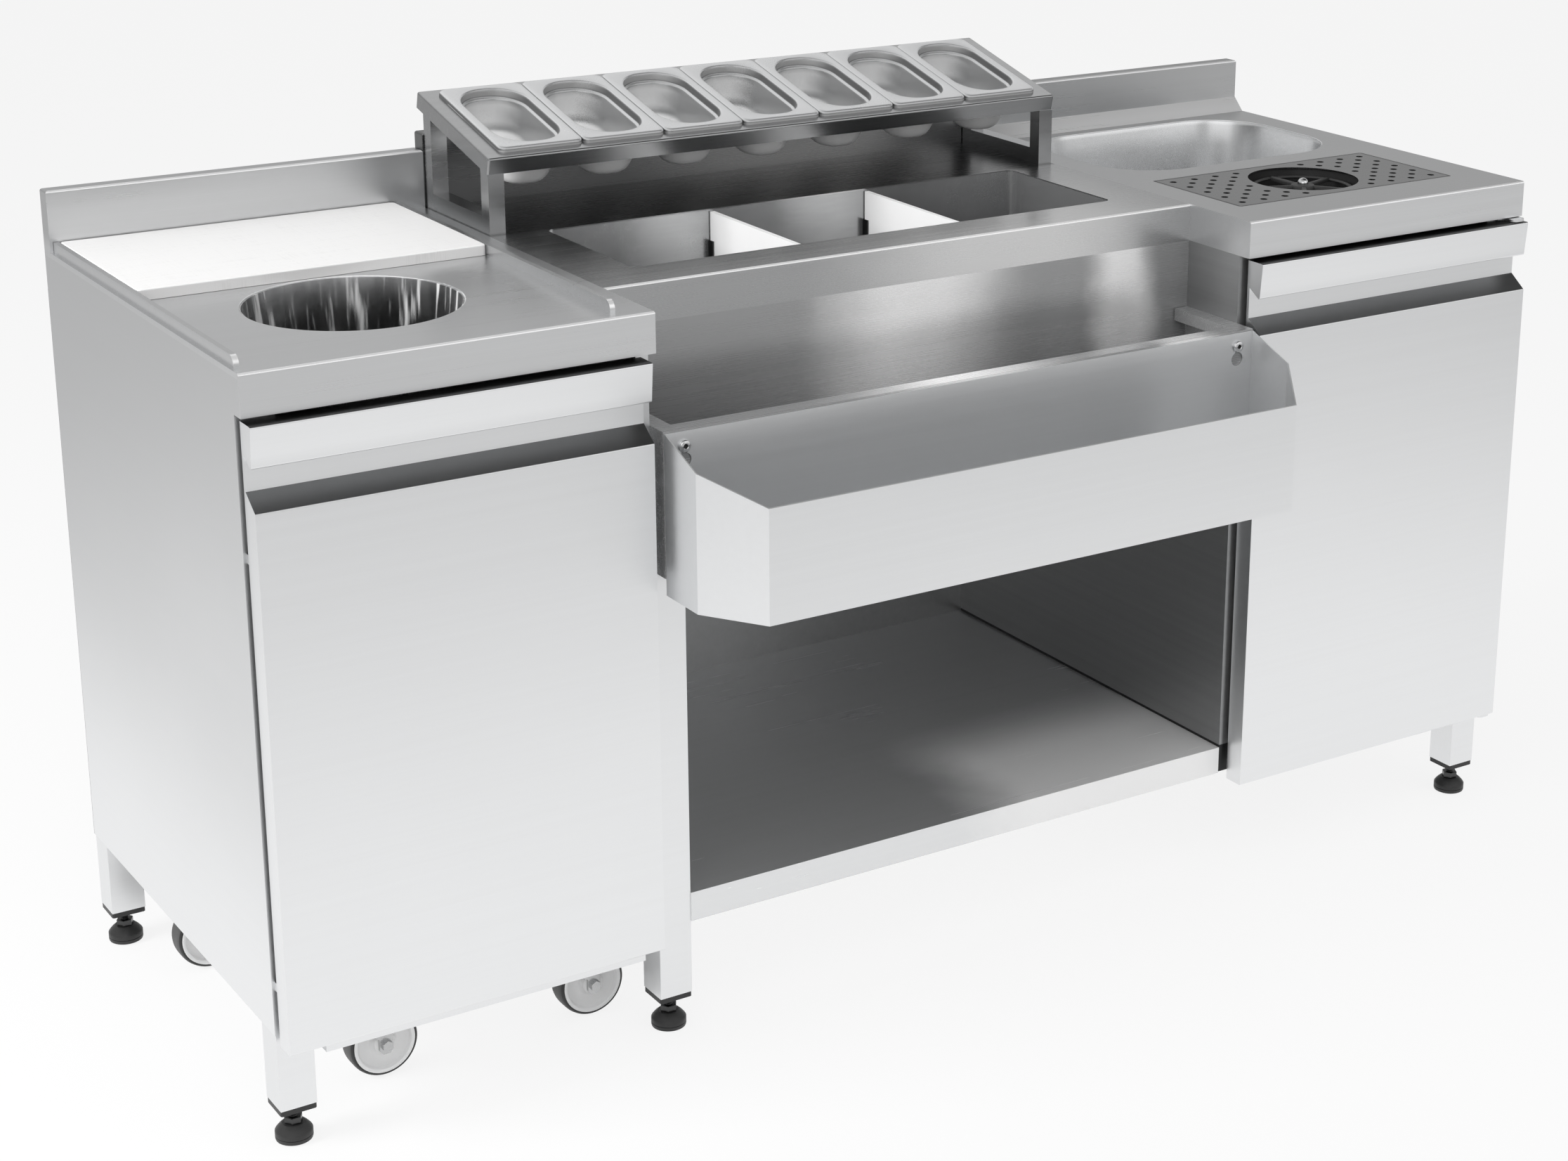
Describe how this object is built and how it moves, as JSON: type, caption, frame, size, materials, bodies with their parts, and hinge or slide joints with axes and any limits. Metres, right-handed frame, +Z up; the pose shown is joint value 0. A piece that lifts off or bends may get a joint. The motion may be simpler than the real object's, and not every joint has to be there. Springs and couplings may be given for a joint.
{
  "type": "cocktail station",
  "caption": "Steel bar station with sliding cutting board over a waste opening, ice bath, sloped food pan stand, bottle rails, sink, glass rinser and waste trolley.",
  "frame": {"origin": "on the floor under the middle of the whole footprint, speed rail included", "axes": "+X to the user's right along the station, +Y to the back, +Z up"},
  "size_m": [1.7, 0.75, 0.9912],
  "materials": {
    "brushed_steel": "brushed stainless sheet",
    "satin_steel": "satin drawn stainless steel",
    "polished_steel": "polished steel",
    "zinc_steel": "bright zinc plated steel",
    "black_plastic": "matte black plastic",
    "white_plastic": "matte white food-grade plastic",
    "grey_plastic": "grey moulded plastic",
    "wheel_rubber": "grey non-marking tread on a light hub"
  },
  "bodies": {
    "station": {"legs": "brushed_steel", "leg_caps": "black_plastic", "frame_rails": "brushed_steel", "left_side_panel": "brushed_steel", "left_partition": "brushed_steel", "back_panel": "brushed_steel", "left_worktop": "brushed_steel", "waste_collar": "polished_steel", "board_rails": "brushed_steel", "bath_top": "brushed_steel", "ice_bath": "satin_steel", "divider_guides": "brushed_steel", "drain_fittings": "polished_steel", "bath_casing": "brushed_steel", "bottle_trough": "brushed_steel", "bottom_shelf": "brushed_steel", "stand_frame": "brushed_steel", "right_worktop": "brushed_steel", "sink_bowl": "satin_steel", "right_partition": "brushed_steel", "right_side_panel": "brushed_steel", "right_floor": "brushed_steel", "rinser_tray": "brushed_steel", "rinser_valve": "polished_steel", "rinser_cup": "black_plastic", "hanger_screws": "polished_steel", "door_pivots": "brushed_steel"},
    "levelling_foot_1": {"foot_1": "black_plastic"},
    "levelling_foot_2": {"foot_2": "black_plastic"},
    "levelling_foot_3": {"foot_3": "black_plastic"},
    "levelling_foot_4": {"foot_4": "black_plastic"},
    "levelling_foot_5": {"foot_5": "black_plastic"},
    "levelling_foot_6": {"foot_6": "black_plastic"},
    "board": {"cutting_board": "white_plastic"},
    "bath_divider_1": {"divider_1": "white_plastic"},
    "bath_divider_2": {"divider_2": "white_plastic"},
    "food_pan_1": {"pan_1": "satin_steel"},
    "food_pan_2": {"pan_2": "satin_steel"},
    "food_pan_3": {"pan_3": "satin_steel"},
    "food_pan_4": {"pan_4": "satin_steel"},
    "food_pan_5": {"pan_5": "satin_steel"},
    "food_pan_6": {"pan_6": "satin_steel"},
    "food_pan_7": {"pan_7": "satin_steel"},
    "rinser_cover": {"drip_plate": "brushed_steel"},
    "rinser_head": {"rinser_star": "polished_steel"},
    "bottle_rail": {"speed_rail": "brushed_steel"},
    "door_leaf": {"door": "brushed_steel"},
    "trolley": {"trolley_front": "brushed_steel", "trolley_platform": "brushed_steel", "bin_guides": "brushed_steel", "waste_bin": "grey_plastic", "castor_plates": "zinc_steel"},
    "castor_1": {"castor_fork_1": "zinc_steel"},
    "wheel_1": {"castor_wheel_1": "wheel_rubber"},
    "castor_2": {"castor_fork_2": "zinc_steel"},
    "wheel_2": {"castor_wheel_2": "wheel_rubber"},
    "castor_3": {"castor_fork_3": "zinc_steel"},
    "wheel_3": {"castor_wheel_3": "wheel_rubber"},
    "castor_4": {"castor_fork_4": "zinc_steel"},
    "wheel_4": {"castor_wheel_4": "wheel_rubber"}
  },
  "joints": [
    {"name": "foot_screw_1", "type": "slide", "parent": "station", "child": "levelling_foot_1", "axis": [0, 0, -1], "range_m": [-0.01, 0.02]},
    {"name": "foot_screw_2", "type": "slide", "parent": "station", "child": "levelling_foot_2", "axis": [0, 0, -1], "range_m": [-0.01, 0.02]},
    {"name": "foot_screw_3", "type": "slide", "parent": "station", "child": "levelling_foot_3", "axis": [0, 0, -1], "range_m": [-0.01, 0.02]},
    {"name": "foot_screw_4", "type": "slide", "parent": "station", "child": "levelling_foot_4", "axis": [0, 0, -1], "range_m": [-0.01, 0.02]},
    {"name": "foot_screw_5", "type": "slide", "parent": "station", "child": "levelling_foot_5", "axis": [0, 0, -1], "range_m": [-0.01, 0.02]},
    {"name": "foot_screw_6", "type": "slide", "parent": "station", "child": "levelling_foot_6", "axis": [0, 0, -1], "range_m": [-0.01, 0.02]},
    {"name": "board_slide", "type": "slide", "parent": "station", "child": "board", "axis": [0, -1, 0], "range_m": [0, 0.255]},
    {"name": "divider_lift_1", "type": "slide", "parent": "station", "child": "bath_divider_1", "axis": [0, 0, 1], "range_m": [0, 0.24]},
    {"name": "divider_lift_2", "type": "slide", "parent": "station", "child": "bath_divider_2", "axis": [0, 0, 1], "range_m": [0, 0.24]},
    {"name": "pan_lift_1", "type": "slide", "parent": "station", "child": "food_pan_1", "axis": [0, -0.24, 0.9708], "range_m": [0, 0.05]},
    {"name": "pan_lift_2", "type": "slide", "parent": "station", "child": "food_pan_2", "axis": [0, -0.24, 0.9708], "range_m": [0, 0.05]},
    {"name": "pan_lift_3", "type": "slide", "parent": "station", "child": "food_pan_3", "axis": [0, -0.24, 0.9708], "range_m": [0, 0.05]},
    {"name": "pan_lift_4", "type": "slide", "parent": "station", "child": "food_pan_4", "axis": [0, -0.24, 0.9708], "range_m": [0, 0.05]},
    {"name": "pan_lift_5", "type": "slide", "parent": "station", "child": "food_pan_5", "axis": [0, -0.24, 0.9708], "range_m": [0, 0.05]},
    {"name": "pan_lift_6", "type": "slide", "parent": "station", "child": "food_pan_6", "axis": [0, -0.24, 0.9708], "range_m": [0, 0.05]},
    {"name": "pan_lift_7", "type": "slide", "parent": "station", "child": "food_pan_7", "axis": [0, -0.24, 0.9708], "range_m": [0, 0.05]},
    {"name": "plate_lift", "type": "slide", "parent": "station", "child": "rinser_cover", "axis": [0, 0, 1], "range_m": [0, 0.06]},
    {"name": "rinser_press", "type": "slide", "parent": "station", "child": "rinser_head", "axis": [0, 0, -1], "range_m": [0, 0.008], "stiffness_N_per_m": 800, "springref_m": -0.006},
    {"name": "rail_lift", "type": "slide", "parent": "station", "child": "bottle_rail", "axis": [0, 0, 1], "range_m": [0, 0.016]},
    {"name": "door_swing", "type": "hinge", "parent": "station", "child": "door_leaf", "pos_m": [0.836, -0.2275, 0.46], "axis": [0, 0, 1], "range_deg": [0, 110]},
    {"name": "trolley_pull", "type": "slide", "parent": "station", "child": "trolley", "axis": [0, -1, 0], "range_m": [0, 0.56]},
    {"name": "castor_swivel_1", "type": "hinge", "parent": "trolley", "child": "castor_1", "pos_m": [-0.731, -0.105, 0.095], "axis": [0, 0, 1], "continuous": true},
    {"name": "wheel_spin_1", "type": "hinge", "parent": "castor_1", "child": "wheel_1", "pos_m": [-0.696, -0.105, 0.04], "axis": [0, 1, 0], "continuous": true},
    {"name": "castor_swivel_2", "type": "hinge", "parent": "trolley", "child": "castor_2", "pos_m": [-0.477, -0.105, 0.095], "axis": [0, 0, 1], "continuous": true},
    {"name": "wheel_spin_2", "type": "hinge", "parent": "castor_2", "child": "wheel_2", "pos_m": [-0.442, -0.105, 0.04], "axis": [0, 1, 0], "continuous": true},
    {"name": "castor_swivel_3", "type": "hinge", "parent": "trolley", "child": "castor_3", "pos_m": [-0.731, 0.24, 0.095], "axis": [0, 0, 1], "continuous": true},
    {"name": "wheel_spin_3", "type": "hinge", "parent": "castor_3", "child": "wheel_3", "pos_m": [-0.766, 0.24, 0.04], "axis": [0, 1, 0], "continuous": true},
    {"name": "castor_swivel_4", "type": "hinge", "parent": "trolley", "child": "castor_4", "pos_m": [-0.477, 0.24, 0.095], "axis": [0, 0, 1], "continuous": true},
    {"name": "wheel_spin_4", "type": "hinge", "parent": "castor_4", "child": "wheel_4", "pos_m": [-0.512, 0.24, 0.04], "axis": [0, 1, 0], "continuous": true}
  ]
}
